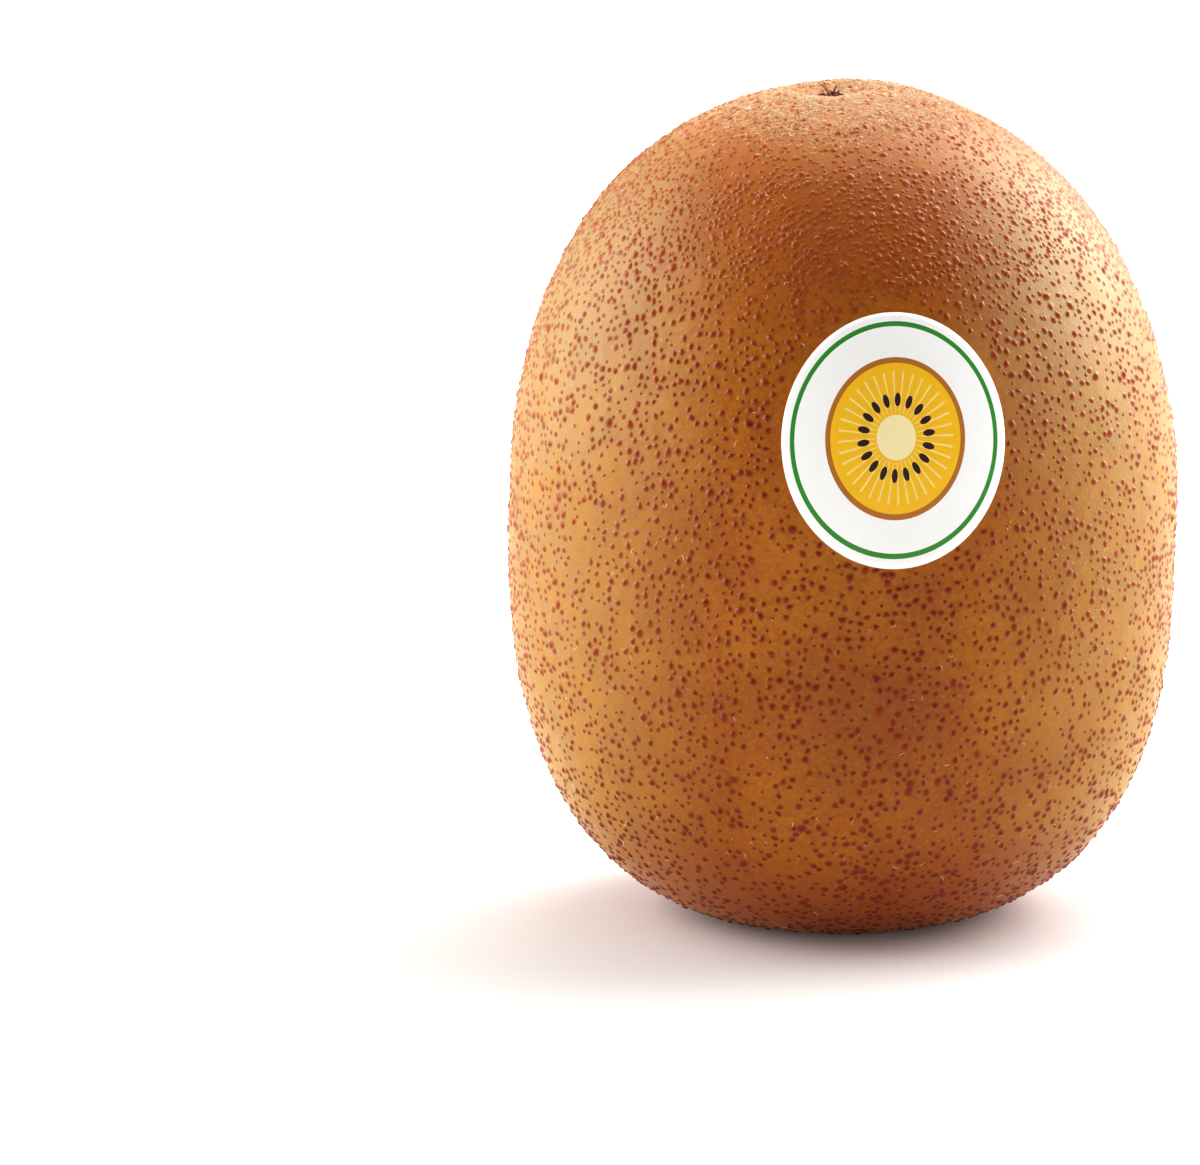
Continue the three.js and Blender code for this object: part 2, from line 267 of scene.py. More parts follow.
def label_share(points, margin):
    """1 on the edge of the label and its margin, less inside, and more outside or behind the fruit."""
    offset = points - label_centre
    across = offset @ label_right / (LABEL_WIDTH / 2 + margin)
    along = offset @ label_up / (LABEL_HEIGHT / 2 + margin)
    return np.where(offset @ label_normal < -FRUIT_DEPTH / 2, FAR_OUTSIDE, np.hypot(across, along))


print("middle of the label, mm:", label_centre.round(2).tolist())

# %% [markdown]
# ## The skin
#
# A ball made of latitude and longitude lines has crowded poles. A cube whose sides are cut into a grid
# and then pushed out to the skin has squares of nearly one size everywhere, which is what shading and
# scattering like. Two layers of noise then give it the faint dents that a real fruit has. They fade out
# at the flat spot.

# %% Push a cube out to the skin
def add_piece(name, mesh):
    """Puts a finished mesh into the scene at the origin, smooth and unscaled."""
    mesh.name = name
    mesh.shade_smooth()
    piece = bpy.data.objects.new(name, mesh)
    bpy.context.collection.objects.link(piece)
    return piece


def mesh_points(mesh):
    """The mesh's vertices as rows of an array."""
    points = np.empty(len(mesh.vertices) * 3)
    mesh.vertices.foreach_get("co", points)
    return points.reshape(-1, 3)


SKIN_CUTS = 119
DENT_SIZE, DENT_DEPTH = 8.0, 0.12
PUCKER_SIZE, PUCKER_DEPTH = 1.9, 0.03


def dent(point):
    """How far the skin stands out at a point, in mm, or lies in where it is negative."""
    broad = DENT_DEPTH * noise.noise(Vector(point) / DENT_SIZE)
    return broad + PUCKER_DEPTH * noise.noise(Vector(point) / PUCKER_SIZE)


skin_mesh = bpy.data.meshes.new("skin")
grid = bmesh.new()
bmesh.ops.create_cube(grid, size=2)
bmesh.ops.subdivide_edges(grid, edges=grid.edges[:], cuts=SKIN_CUTS, use_grid_fill=True)
grid.to_mesh(skin_mesh)
grid.free()

directions = np.tan(mesh_points(skin_mesh) * math.pi / 4)
bare = skin_point(directions)
dents = np.array([dent(point) for point in bare])
above_flat = 1 - bell((bare[:, 2] - 0.2) / 3)
skin_points = bare + skin_normal(directions) * (dents * above_flat)[:, None]
skin_mesh.vertices.foreach_set("co", (skin_points * MM).ravel())
skin_mesh.update()
skin = add_piece("skin", skin_mesh)
print("skin faces:", len(skin_mesh.polygons))
print("lowest and highest, mm:", skin_points[:, 2].min().round(3), skin_points[:, 2].max().round(3))

# %% [markdown]
# ## Where warts and hairs grow
#
# Scattering needs to know how crowded each place is. Attributes on the skin say it, from 0 for none.
# Warts keep off the label and the flat spot. The large ones stay below the shoulder, where extra small
# ones crowd instead. Fuzz has worn off nearly everywhere but round the blossom end, and single wisps may
# cling anywhere.

# %% Write the room for warts and hairs on the skin
LABEL_MARGIN = 0.45
CROWN_HEIGHT = 58
SHOULDER_HEIGHT = 61
LARGE_WART_LIMIT = 62
FUZZ_START = 65


def write_attribute(mesh, name, values):
    """Stores one number for each vertex under a name that nodes can read."""
    mesh.attributes.new(name, "FLOAT", "POINT").data.foreach_set("value", values)


height = bare[:, 2]
off_label = (label_share(bare, LABEL_MARGIN) > 1).astype(float)
off_flat = np.clip((height - 0.3) / 0.5, 0, 1)
crown = 1 - bell((height - CROWN_HEIGHT) / 10)
shoulder = bell(np.abs(height - SHOULDER_HEIGHT) / 10)
wart_room = off_label * off_flat * (0.75 + 0.25 * height / FRUIT_HEIGHT) * (1 - 0.4 * crown)
fuzz_room = np.clip((height - FUZZ_START) / 3.5, 0, 1) ** 2 + 0.02 * crown
rooms = {
    "wart_room": wart_room,
    "large_wart_room": wart_room * np.clip((LARGE_WART_LIMIT - height) / 12, 0, 1),
    "shoulder_room": off_label * shoulder,
    "wisp_room": off_label * off_flat,
    "fuzz_room": fuzz_room,
}
for name, room in rooms.items():
    write_attribute(skin_mesh, name, room)
print("mean room for warts and for fuzz:", wart_room.mean().round(2), fuzz_room.mean().round(3))

# %% [markdown]
# ## Small helpers for nodes
#
# Materials and scattering are both trees of nodes. These helpers add one node, set it up and wire its
# inputs, so that a tree reads like a recipe. A value given for an input is either a number or the output
# of another node.

# %% Node helpers
def add_node(tree, kind, inputs=None, **settings):
    """One node with its settings made and its inputs filled or wired."""
    node = tree.nodes.new(kind)
    node.location = (220 * len(tree.nodes), 0)
    for name, value in settings.items():
        setattr(node, name, value)
    for name, value in (inputs or {}).items():
        if isinstance(value, bpy.types.NodeSocket):
            tree.links.new(value, node.inputs[name])
        else:
            node.inputs[name].default_value = value
    return node


def calculate(tree, operation, *values):
    """The result of one Math node."""
    return add_node(tree, "ShaderNodeMath", dict(enumerate(values)), operation=operation).outputs[0]


def noise_field(tree, place, size_mm, detail=3.0, roughness=0.5):
    """Noise from 0 to 1 whose lumps are about as wide as the size given."""
    inputs = {"Vector": place, "Scale": 1 / (size_mm * MM), "Detail": detail, "Roughness": roughness}
    return add_node(tree, "ShaderNodeTexNoise", inputs).outputs["Fac"]


def between(tree, value, low, high, new_low=0.0, new_high=1.0):
    """A value brought from one range to another, held at the ends."""
    inputs = {"Value": value, "From Min": low, "From Max": high, "To Min": new_low, "To Max": new_high}
    return add_node(tree, "ShaderNodeMapRange", inputs).outputs["Result"]


def mix_colour(tree, factor, first, second):
    """A colour between two others."""
    node = add_node(tree, "ShaderNodeMix", data_type="RGBA")
    for socket, value in zip((node.inputs[0], node.inputs[6], node.inputs[7]), (factor, first, second)):
        if isinstance(value, bpy.types.NodeSocket):
            tree.links.new(value, socket)
        else:
            socket.default_value = value if isinstance(value, (int, float)) else (*value, 1)
    return node.outputs[2]


def new_material(name, roughness, **shader_inputs):
    """A material with its Principled shader's own numbers set. Returns it with its tree and shader."""
    material = bpy.data.materials.new(name)
    material.use_nodes = True
    shader = material.node_tree.nodes["Principled BSDF"]
    shader.inputs["Roughness"].default_value = roughness
    for socket, value in shader_inputs.items():
        shader.inputs[socket.replace("_", " ")].default_value = value
    return material, material.node_tree, shader


print("node helpers are ready")

# %% [markdown]
# ## The colour of the skin
#
# The skin is thin and golden brown, more yellow where the flesh glows through and browner where cork has
# grown. Its sides are painted paler, straw with honey patches and cream higher up and more on the right:
# painted sheen and a painted highlight where the side lamps fall. The shoulder is russet. The top is painted
# apricot, painted light from above, the back is painted tan, painted shade, and the foot is painted rusty,
# painted shade near the table. The flat spot is pressed darker and has dark old spots. Warts end in the
# same skin, so the recipe is a function that both materials call. Because it reads the place in space, a
# wart's foot has exactly the colour of the skin that it stands on, and no seam shows.

# %% Skin colour and skin material
GOLDEN = (0.48, 0.172, 0.010)
BROWN = (0.36, 0.095, 0.006)
OLIVE = (0.385, 0.150, 0.006)
UMBER = (0.25, 0.060, 0.004)
# This straw colours random flecks and also the painted sheen on the sides.
STRAW_AND_SIDE_SHEEN = (0.46, 0.265, 0.070)
RUSSET = (0.40, 0.096, 0.007)
# This rust is painted shade at the foot, near the table.
FOOT_SHADE_RUST = (0.30, 0.050, 0.004)
# This honey and the cream below are painted sheen and a painted highlight on the sides.
SIDE_SHEEN_HONEY = (0.50, 0.235, 0.028)
HIGHLIGHT_CREAM = (0.50, 0.340, 0.160)
# This apricot is painted light on the top of the fruit.
TOP_LIGHT_APRICOT = (0.56, 0.240, 0.060)
# This tan is painted shade over the back.
BACK_SHADE_TAN = (0.25, 0.108, 0.034)
PRESSED = (0.20, 0.075, 0.028)
# This dark red colours old spots under the flat spot, and is painted shade on warts near the foot.
OLD_SPOT_AND_FOOT_SHADE = (0.20, 0.022, 0.004)


def fade(tree, axis, low_mm, high_mm, first=0.0, last=1.0):
    """Goes from one number to another between two places on an axis."""
    return between(tree, axis, low_mm * MM, high_mm * MM, first, last)


def skin_tone(tree):
    """Adds the nodes for the colour of bare skin and returns their colour socket and the place they read."""
    place = add_node(tree, "ShaderNodeTexCoord").outputs["Object"]
    axes = add_node(tree, "ShaderNodeSeparateXYZ", {"Vector": place}).outputs
    broad = noise_field(tree, place, 14, detail=2)
    patches = noise_field(tree, place, 4, detail=4)
    grain = noise_field(tree, place, 0.5, detail=4, roughness=0.7)
    flecks = noise_field(tree, place, 0.3, detail=3, roughness=0.6)
    tone = mix_colour(tree, between(tree, broad, 0.35, 0.65), GOLDEN, BROWN)
    tone = mix_colour(tree, between(tree, patches, 0.5, 0.75, 0, 0.5), tone, OLIVE)
    tone = mix_colour(tree, between(tree, grain, 0.42, 0.68, 0, 0.5), tone, UMBER)
    tone = mix_colour(tree, between(tree, flecks, 0.5, 0.75, 0, 0.4), tone, STRAW_AND_SIDE_SHEEN)
    tone = mix_colour(tree, fade(tree, axes["Z"], 52, 62, 0, 0.4), tone, RUSSET)

    # Painted sheen and highlight: the sides, most on the upper right, are painted paler straw, honey and
    # cream.
    side_sheen = fade(tree, calculate(tree, "ABSOLUTE", axes["X"]), 10, 23, 0, 0.75)
    tone = mix_colour(tree, side_sheen, tone, STRAW_AND_SIDE_SHEEN)
    honey_sheen_patches = calculate(tree, "MULTIPLY", side_sheen, between(tree, patches, 0.4, 0.56, 0.85, 0))
    tone = mix_colour(tree, honey_sheen_patches, tone, SIDE_SHEEN_HONEY)
    sheen_and_right_highlight = calculate(tree, "MAXIMUM", side_sheen, fade(tree, axes["X"], 7, 18))
    upper_highlight = calculate(tree, "MULTIPLY", sheen_and_right_highlight, fade(tree, axes["Z"], 38, 58, 0, 0.9))
    tone = mix_colour(tree, upper_highlight, tone, HIGHLIGHT_CREAM)

    # Painted shade: the back is painted darker tan.
    tone = mix_colour(tree, fade(tree, axes["Y"], -3, 15, 0, 0.75), tone, BACK_SHADE_TAN)
    # Painted light: the top is painted paler apricot.
    tone = mix_colour(tree, fade(tree, axes["Z"], 63, 68.5, 0, 0.75), tone, TOP_LIGHT_APRICOT)
    # Painted shade: the foot is painted darker and redder towards the table.
    return mix_colour(tree, fade(tree, axes["Z"], 1, 11, 0.95, 0), tone, FOOT_SHADE_RUST), place


def leather_bump(tree, place, depth_mm):
    """The fine creases of the skin, as a bumped normal."""
    fine = noise_field(tree, place, 0.22, detail=4, roughness=0.6)
    coarse = noise_field(tree, place, 1.1, detail=3)
    relief = calculate(tree, "ADD", fine, calculate(tree, "MULTIPLY", coarse, 2.0))
    return add_node(tree, "ShaderNodeBump", {"Height": relief, "Distance": depth_mm * MM}).outputs["Normal"]


FLESH_GLOW = {
    "Subsurface_Weight": 0.35,
    "Subsurface_Radius": (1.0, 0.3, 0.1),
    "Subsurface_Scale": 1.2 * MM,
    "Specular_IOR_Level": 0.35,
    "Sheen_Roughness": 0.4,
    "Sheen_Tint": (0.97, 0.83, 0.54, 1),
}
OLD_SPOT_SIZE = 1.1

skin_paint, tree, shader = new_material("kiwi skin", 0.42, Sheen_Weight=0.3, **FLESH_GLOW)
tone, place = skin_tone(tree)
above_table = add_node(tree, "ShaderNodeSeparateXYZ", {"Vector": place}).outputs["Z"]
cells = add_node(tree, "ShaderNodeTexVoronoi", {"Vector": place, "Scale": 1 / (OLD_SPOT_SIZE * MM)})
spots = between(tree, cells.outputs["Distance"], 0.2, 0.34, 0.8, 0)
under_fruit = fade(tree, above_table, 0.3, 0.8, 1, 0)
old_spots = calculate(tree, "MULTIPLY", spots, under_fruit)
tone = mix_colour(tree, fade(tree, above_table, 0.2, 1.5, 0.6, 0), tone, PRESSED)
tree.links.new(mix_colour(tree, old_spots, tone, OLD_SPOT_AND_FOOT_SHADE), shader.inputs["Base Color"])
tree.links.new(leather_bump(tree, place, 0.035), shader.inputs["Normal"])
gloss = between(tree, noise_field(tree, place, 2.5), 0.3, 0.7, 0.36, 0.5)
dull_base = fade(tree, above_table, 1, 8, 0.9, 0)
tree.links.new(calculate(tree, "MAXIMUM", gloss, dull_base), shader.inputs["Roughness"])
skin_mesh.materials.append(skin_paint)
print("skin nodes:", len(tree.nodes))

# %% [markdown]
# ## The warts
#
# Each wart, or lenticel, is a breathing pore that has grown a corky cap. There are about fifteen
# thousand, so none is made by hand. A few low shapes are made once, with an uneven outline and a number
# on each vertex that says how near it is to the dark tip. Geometry Nodes then plant them over the skin.

# %% Make the shapes of a wart
WART_RISE = 0.38
WART_RINGS = {
    "small": (6, [(0.5, 0.62), (1.0, -0.06)]),
    "medium": (7, [(0.34, 0.86), (0.66, 0.34), (1.0, -0.06)]),
    "large": (9, [(0.26, 0.94), (0.5, 0.66), (0.74, 0.22), (1.0, -0.06)]),
}
WART_SHAPES = 4


def disc_faces(first, rings, spokes):
    """The faces of a disc of rings whose middle is the first point."""
    faces = [(first, first + 1 + spoke, first + 1 + (spoke + 1) % spokes) for spoke in range(spokes)]
    for ring in range(rings - 1):
        inner, outer = first + 1 + ring * spokes, first + 1 + (ring + 1) * spokes
        for spoke in range(spokes):
            after = (spoke + 1) % spokes
            faces.append((inner + spoke, outer + spoke, outer + after, inner + after))
    return faces


def wart_mesh(name, sides, rings, draw):
    """A cap of radius 1 on the XY plane. A ring is a radius and a share of the height, from top to foot."""
    outline = [draw.uniform(0.8, 1.14) for _ in range(sides)]
    points = [(draw.uniform(-0.08, 0.08), draw.uniform(-0.08, 0.08), WART_RISE)]
    for radius, rise in rings:
        for side in range(sides):
            angle = 2 * math.pi * side / sides
            reach = radius * outline[side]
            points.append((reach * math.cos(angle), reach * math.sin(angle), rise * WART_RISE))
    mesh = bpy.data.meshes.new(name)
    mesh.from_pydata(points, [], disc_faces(0, len(rings), sides))
    mesh.shade_smooth()
    write_attribute(mesh, "core", [1.0] + [1 - radius for radius, _ in rings for _ in range(sides)])
    return mesh


def collect(name, meshes):
    """A collection of shapes that is kept out of the picture and serves only as a source."""
    collection = bpy.data.collections.new(name)
    for mesh in meshes:
        collection.objects.link(bpy.data.objects.new(mesh.name, mesh))
    return collection


draw = random.Random(7)
wart_shapes = {}
for size, (sides, rings) in WART_RINGS.items():
    meshes = [wart_mesh(f"{size} wart {number}", sides, rings, draw) for number in range(WART_SHAPES)]
    wart_shapes[size] = collect(f"{size} warts", meshes)
    print("triangles in a", size, "wart:", sides * (2 * len(rings) - 1))

# %% [markdown]
# ## A tree that plants things on the skin
#
# One Geometry Nodes tree serves warts and hairs. It strews points at random, as thickly as the attribute
# allows and no closer than a least distance, and thins them out in patches, because warts come in groups.
# Each point draws a rank from 0 to 1. A run of the tree uses only the points between its first and last
# rank, so that runs with one seed share the points out between them. Each point gets one of the shapes,
# turned at random and stretched a little, and the higher its rank, the larger it is. The instances are
# made real at the end, so that what is left is a plain mesh.

# %% Build the planting tree
MOST_INDEX = 99


def random_value(tree, low, high, seed, offset):
    """A random number for each point, apart from those with another offset."""
    node = add_node(tree, "FunctionNodeRandomValue", data_type="FLOAT")
    node.inputs[2].default_value = low
    node.inputs[3].default_value = high
    tree.links.new(calculate(tree, "ADD", seed, offset), node.inputs["Seed"])
    return node.outputs[1]


def planting_tree():
    """The tree with its named inputs."""
    tree = bpy.data.node_groups.new("plant on skin", "GeometryNodeTree")
    sockets = {
        "Geometry": "Geometry",
        "Shapes": "Collection",
        "Finish": "Material",
        "Room": "String",
        "Number per square metre": "Float",
        "Least distance": "Float",
        "First rank": "Float",
        "Last rank": "Float",
        "Least size": "Float",
        "Most size": "Float",
        "Stretch": "Float",
        "Patch size": "Float",
        "Bareness": "Float",
        "Seed": "Int",
    }
    for name, kind in sockets.items():
        tree.interface.new_socket(name, in_out="INPUT", socket_type=f"NodeSocket{kind}")
    tree.interface.new_socket("Geometry", in_out="OUTPUT", socket_type="NodeSocketGeometry")
    given = add_node(tree, "NodeGroupInput").outputs
    seed = given["Seed"]

    room = add_node(tree, "GeometryNodeInputNamedAttribute", {"Name": given["Room"]}).outputs["Attribute"]
    where = add_node(tree, "GeometryNodeInputPosition").outputs["Position"]
    patch = calculate(tree, "DIVIDE", 1.0, given["Patch size"])
    patches = add_node(tree, "ShaderNodeTexNoise", {"Vector": where, "Scale": patch, "Detail": 2.0})
    least_crowding = calculate(tree, "SUBTRACT", 1.0, given["Bareness"])
    crowding = between(tree, patches.outputs["Fac"], 0.3, 0.5, least_crowding, 1.0)
    strewn = add_node(
        tree,
        "GeometryNodeDistributePointsOnFaces",
        {
            "Mesh": given["Geometry"],
            "Distance Min": given["Least distance"],
            "Density Max": given["Number per square metre"],
            "Density Factor": calculate(tree, "MULTIPLY", room, crowding),
            "Seed": seed,
        },
        distribute_method="POISSON",
    )

    rank = random_value(tree, 0, 1, seed, 1)
    first, last = given["First rank"], given["Last rank"]
    after_first = calculate(tree, "GREATER_THAN", rank, first)
    up_to_last = calculate(tree, "LESS_THAN", rank, last)
    chosen = calculate(tree, "MULTIPLY", after_first, up_to_last)
    size = between(tree, rank, first, last, given["Least size"], given["Most size"])
    long_side = calculate(tree, "MULTIPLY_ADD", random_value(tree, 0, 1, seed, 2), given["Stretch"], 1.0)
    taller = random_value(tree, 0.7, 1.25, seed, 3)
    shape = add_node(tree, "ShaderNodeCombineXYZ", {"X": long_side, "Y": 1.0, "Z": taller}).outputs["Vector"]
    sized = add_node(tree, "ShaderNodeVectorMath", {0: shape, "Scale": size}, operation="SCALE")
    angle = random_value(tree, 0, 2 * math.pi, seed, 4)
    angle = add_node(tree, "ShaderNodeCombineXYZ", {"Z": angle}).outputs["Vector"]
    spin = add_node(tree, "FunctionNodeEulerToRotation", {"Euler": angle}).outputs["Rotation"]
    stance = add_node(
        tree,
        "FunctionNodeRotateRotation",
        {"Rotation": strewn.outputs["Rotation"], "Rotate By": spin},
        rotation_space="LOCAL",
    ).outputs["Rotation"]

    shapes = add_node(
        tree,
        "GeometryNodeCollectionInfo",
        {"Collection": given["Shapes"], "Separate Children": True, "Reset Children": True},
    )
    which = add_node(tree, "FunctionNodeRandomValue", data_type="INT")
    which.inputs[4].default_value = 0
    which.inputs[5].default_value = MOST_INDEX
    tree.links.new(calculate(tree, "ADD", seed, 5), which.inputs["Seed"])
    planted = add_node(
        tree,
        "GeometryNodeInstanceOnPoints",
        {
            "Points": strewn.outputs["Points"],
            "Selection": chosen,
            "Instance": shapes.outputs[0],
            "Pick Instance": True,
            "Instance Index": which.outputs[2],
            "Rotation": stance,
            "Scale": sized.outputs["Vector"],
        },
    ).outputs["Instances"]
    toned = add_node(
        tree,
        "GeometryNodeStoreNamedAttribute",
        {"Geometry": planted, "Name": "tone", "Value": random_value(tree, 0, 1, seed, 6)},
        data_type="FLOAT",
        domain="INSTANCE",
    ).outputs["Geometry"]
    real = add_node(tree, "GeometryNodeRealizeInstances", {"Geometry": toned}).outputs["Geometry"]
    done = add_node(tree, "GeometryNodeSetMaterial", {"Geometry": real, "Material": given["Finish"]})
    add_node(tree, "NodeGroupOutput", {"Geometry": done.outputs["Geometry"]})
    return tree


def plant(name, tree, soil, **values):
    """Runs the planting tree on a surface and keeps what grew as a plain mesh piece."""
    base = bpy.data.objects.new(name, soil.data.copy())
    bpy.context.collection.objects.link(base)
    modifier = base.modifiers.new(name, "NODES")
    modifier.node_group = tree
    identifiers = {item.name: item.identifier for item in tree.interface.items_tree if item.in_out == "INPUT"}
    for key, value in values.items():
        modifier[identifiers[key.replace("_", " ")]] = value
    evaluated = base.evaluated_get(bpy.context.evaluated_depsgraph_get())
    mesh = bpy.data.meshes.new_from_object(evaluated)
    bpy.data.objects.remove(base)
    piece = add_piece(name, mesh)
    mesh.calc_loop_triangles()
    print(name, "has", len(mesh.loop_triangles), "triangles")
    return piece


plant_on_skin = planting_tree()
print("planting nodes:", len(plant_on_skin.nodes))

# %% [markdown]
# ## The finish of a wart
#
# A wart is the colour of the skin at its foot, turns red-brown up its side and is darkest at its tip. Its
# cap is smoother than the skin, so it has a small bright glint on the side that faces a light. Some warts
# are paler than others, which the planting tree has noted on each one as its tone. Near the crown and on
# the sides their caps are painted salmon pink, painted light where the lamps fall most; near the foot they
# are painted darker and at the back browner, painted shade.

# %% Wart material
WART_SIDE = (0.32, 0.048, 0.006)
WART_TIP = (0.18, 0.022, 0.003)
# This salmon is painted light on wart caps near the crown and on the sides.
LIT_WART_SALMON = (0.50, 0.128, 0.026)
# This brown is painted shade on wart caps at the back.
BACK_SHADE_WART = (0.15, 0.040, 0.016)

wart_paint, tree, shader = new_material("wart", 0.24, Sheen_Weight=0.12, **FLESH_GLOW)
tone, place = skin_tone(tree)
core = add_node(tree, "ShaderNodeAttribute", attribute_name="core").outputs["Fac"]
own = add_node(tree, "ShaderNodeAttribute", attribute_name="tone").outputs["Fac"]
paleness = between(tree, own, 0.3, 1.0, 0.0, 0.8)
tip = mix_colour(tree, paleness, WART_TIP, WART_SIDE)
side = mix_colour(tree, between(tree, core, 0.0, 0.45), tone, WART_SIDE)
cap = mix_colour(tree, between(tree, core, 0.35, 0.65), side, tip)
axes = add_node(tree, "ShaderNodeSeparateXYZ", {"Vector": place}).outputs
off_foot = between(tree, core, 0.0, 0.4)
# Painted light: caps are painted salmon near the crown and on the sides.
crown_light = fade(tree, axes["Z"], 46, 62, 0, 0.7)
outwards = fade(tree, calculate(tree, "ABSOLUTE", axes["X"]), 8, 24, 0, 0.45)
side_light_on_warts = calculate(tree, "MULTIPLY", outwards, fade(tree, axes["Z"], 8, 26))
painted_light_on_warts = calculate(tree, "MAXIMUM", crown_light, side_light_on_warts)
# Painted shade: caps are painted darker near the foot.
foot_shade = fade(tree, axes["Z"], 4, 18, 0.75, 0)
# Painted shade: caps are painted browner at the back.
behind = fade(tree, axes["Y"], 0, 15, 0, 0.85)
for amount, colour in ((painted_light_on_warts, LIT_WART_SALMON), (foot_shade, OLD_SPOT_AND_FOOT_SHADE), (behind, BACK_SHADE_WART)):
    cap = mix_colour(tree, calculate(tree, "MULTIPLY", amount, off_foot), cap, colour)
tree.links.new(cap, shader.inputs["Base Color"])
tree.links.new(leather_bump(tree, place, 0.01), shader.inputs["Normal"])
print("wart nodes:", len(tree.nodes))

# %% [markdown]
# ## Plant the warts
#
# Three runs of the tree share one seed, and so one set of points, and plant the three sizes. A fourth
# crowds the shoulder with extra small ones. Small warts need few faces and are many; large ones are few
# and show their shape. A size is the radius of the foot, in mm, and the dark cap is about two thirds of
# it.

# %% Run the planting tree for each size
WART_NUMBER, WART_DISTANCE, WART_SEED = 4e6, 0.6, 11
SHOULDER_NUMBER, SHOULDER_DISTANCE, SHOULDER_SEED = 6e6, 0.45, 29


def plant_warts(kind, shapes, room, ranks, sizes, number=WART_NUMBER, distance=WART_DISTANCE, seed=WART_SEED):
    """One run of the tree with the settings that all warts share."""
    return plant(
        f"warts_{kind}",
        plant_on_skin,
        skin,
        Shapes=wart_shapes[shapes],
        Finish=wart_paint,
        Room=room,
        Number_per_square_metre=number,
        Least_distance=distance * MM,
        First_rank=ranks[0],
        Last_rank=ranks[1],
        Least_size=sizes[0] * MM,
        Most_size=sizes[1] * MM,
        Stretch=0.35,
        Patch_size=6 * MM,
        Bareness=0.25,
        Seed=seed,
    )


warts = [
    plant_warts("small", "small", "wart_room", ranks=(0.0, 0.5), sizes=(0.17, 0.28)),
    plant_warts("medium", "medium", "wart_room", ranks=(0.5, 0.96), sizes=(0.28, 0.38)),
    plant_warts("large", "large", "large_wart_room", ranks=(0.96, 1.0), sizes=(0.38, 0.48)),
    plant_warts(
        "shoulder",
        "small",
        "shoulder_room",
        ranks=(0.0, 1.0),
        sizes=(0.14, 0.28),
        number=SHOULDER_NUMBER,
        distance=SHOULDER_DISTANCE,
        seed=SHOULDER_SEED,
    ),
]

# %% [markdown]
# ## The hairs
#
# A golden kiwi is almost bald. A fuzz of fine curled hairs is left round the blossom end, and here and
# there a wisp clings to the skin. A hair is a thin tube of three sides: thinner than a pixel, it needs no
# more. Hair curves would be lighter, but a mesh is what every other program can open. The fuzz is planted
# in two runs, the shorter hairs and the longer ones, so that no piece grows too heavy.

# %% Make the shapes of a hair
HAIR_SHAPES = 6
HAIR_STEPS = 4
HAIR_THICKNESS = 0.055


def tube(path, radii, sides):
    """Points and faces of a closed tube along a path, with its own radius at each step."""
    points, faces = [], []
    for step, (centre, radius) in enumerate(zip(path, radii)):
        ahead = path[min(step + 1, len(path) - 1)] - path[max(step - 1, 0)]
        turn_to = ahead.to_track_quat("Z", "Y")
        for side in range(sides):
            angle = 2 * math.pi * side / sides
            points.append(centre + turn_to @ Vector((radius * math.cos(angle), radius * math.sin(angle), 0)))
    for step in range(len(path) - 1):
        for side in range(sides):
            after = (side + 1) % sides
            low, high = step * sides, (step + 1) * sides
            faces.append((low + side, low + after, high + after, high + side))
    faces.append(tuple(reversed(range(sides))))
    faces.append(tuple(range(len(points) - sides, len(points))))
    return points, faces


def hair_mesh(name, draw):
    """A hair of length about 1 that leaves the skin, bends over and curls."""
    heading = 0.0
    bend = draw.uniform(-1.1, 1.1)
    centre = Vector((0, 0, -0.05))
    path = [centre.copy()]
    for step in range(HAIR_STEPS):
        heading += bend + draw.uniform(-0.5, 0.5)
        climb = 0.5 * (1 - step / HAIR_STEPS) - 0.12 + draw.uniform(-0.1, 0.1)
        centre = centre + Vector((math.cos(heading), math.sin(heading), climb)) / HAIR_STEPS
        path.append(centre.copy())
    radii = [HAIR_THICKNESS * (1 - 0.75 * step / HAIR_STEPS) for step in range(len(path))]
    points, faces = tube(path, radii, 3)
    mesh = bpy.data.meshes.new(name)
    mesh.from_pydata(points, [], faces)
    mesh.shade_smooth()
    return mesh


hair_shapes = collect("hairs", [hair_mesh(f"hair {number}", draw) for number in range(HAIR_SHAPES)])

# %% Hair material and planting
HAIR_PALE = (1.0, 0.87, 0.66)
HAIR_TAWNY = (0.92, 0.62, 0.36)
FUZZ_NUMBER, FUZZ_PATCH = 54e6, 2.5
WISP_NUMBER, WISP_PATCH = 0.10e6, 9
HAIR_SEED = 53

hair_paint, tree, shader = new_material("hair", 0.5)
own = add_node(tree, "ShaderNodeAttribute", attribute_name="tone").outputs["Fac"]
tree.links.new(mix_colour(tree, own, HAIR_PALE, HAIR_TAWNY), shader.inputs["Base Color"])


def plant_hairs(kind, room, ranks, sizes, number, patch):
    """One run of the tree with the settings that all hairs share."""
    return plant(
        f"hairs_{kind}",
        plant_on_skin,
        skin,
        Shapes=hair_shapes,
        Finish=hair_paint,
        Room=room,
        Number_per_square_metre=number,
        Least_distance=0.0,
        First_rank=ranks[0],
        Last_rank=ranks[1],
        Least_size=sizes[0] * MM,
        Most_size=sizes[1] * MM,
        Stretch=0.2,
        Patch_size=patch * MM,
        Bareness=0.85,
        Seed=HAIR_SEED,
    )


hairs = [
    plant_hairs("short_fuzz", "fuzz_room", (0.0, 0.5), (0.25, 0.42), FUZZ_NUMBER, FUZZ_PATCH),
    plant_hairs("long_fuzz", "fuzz_room", (0.5, 1.0), (0.42, 0.68), FUZZ_NUMBER, FUZZ_PATCH),
    plant_hairs("wisps", "wisp_room", (0.0, 1.0), (0.3, 0.7), WISP_NUMBER, WISP_PATCH),
]

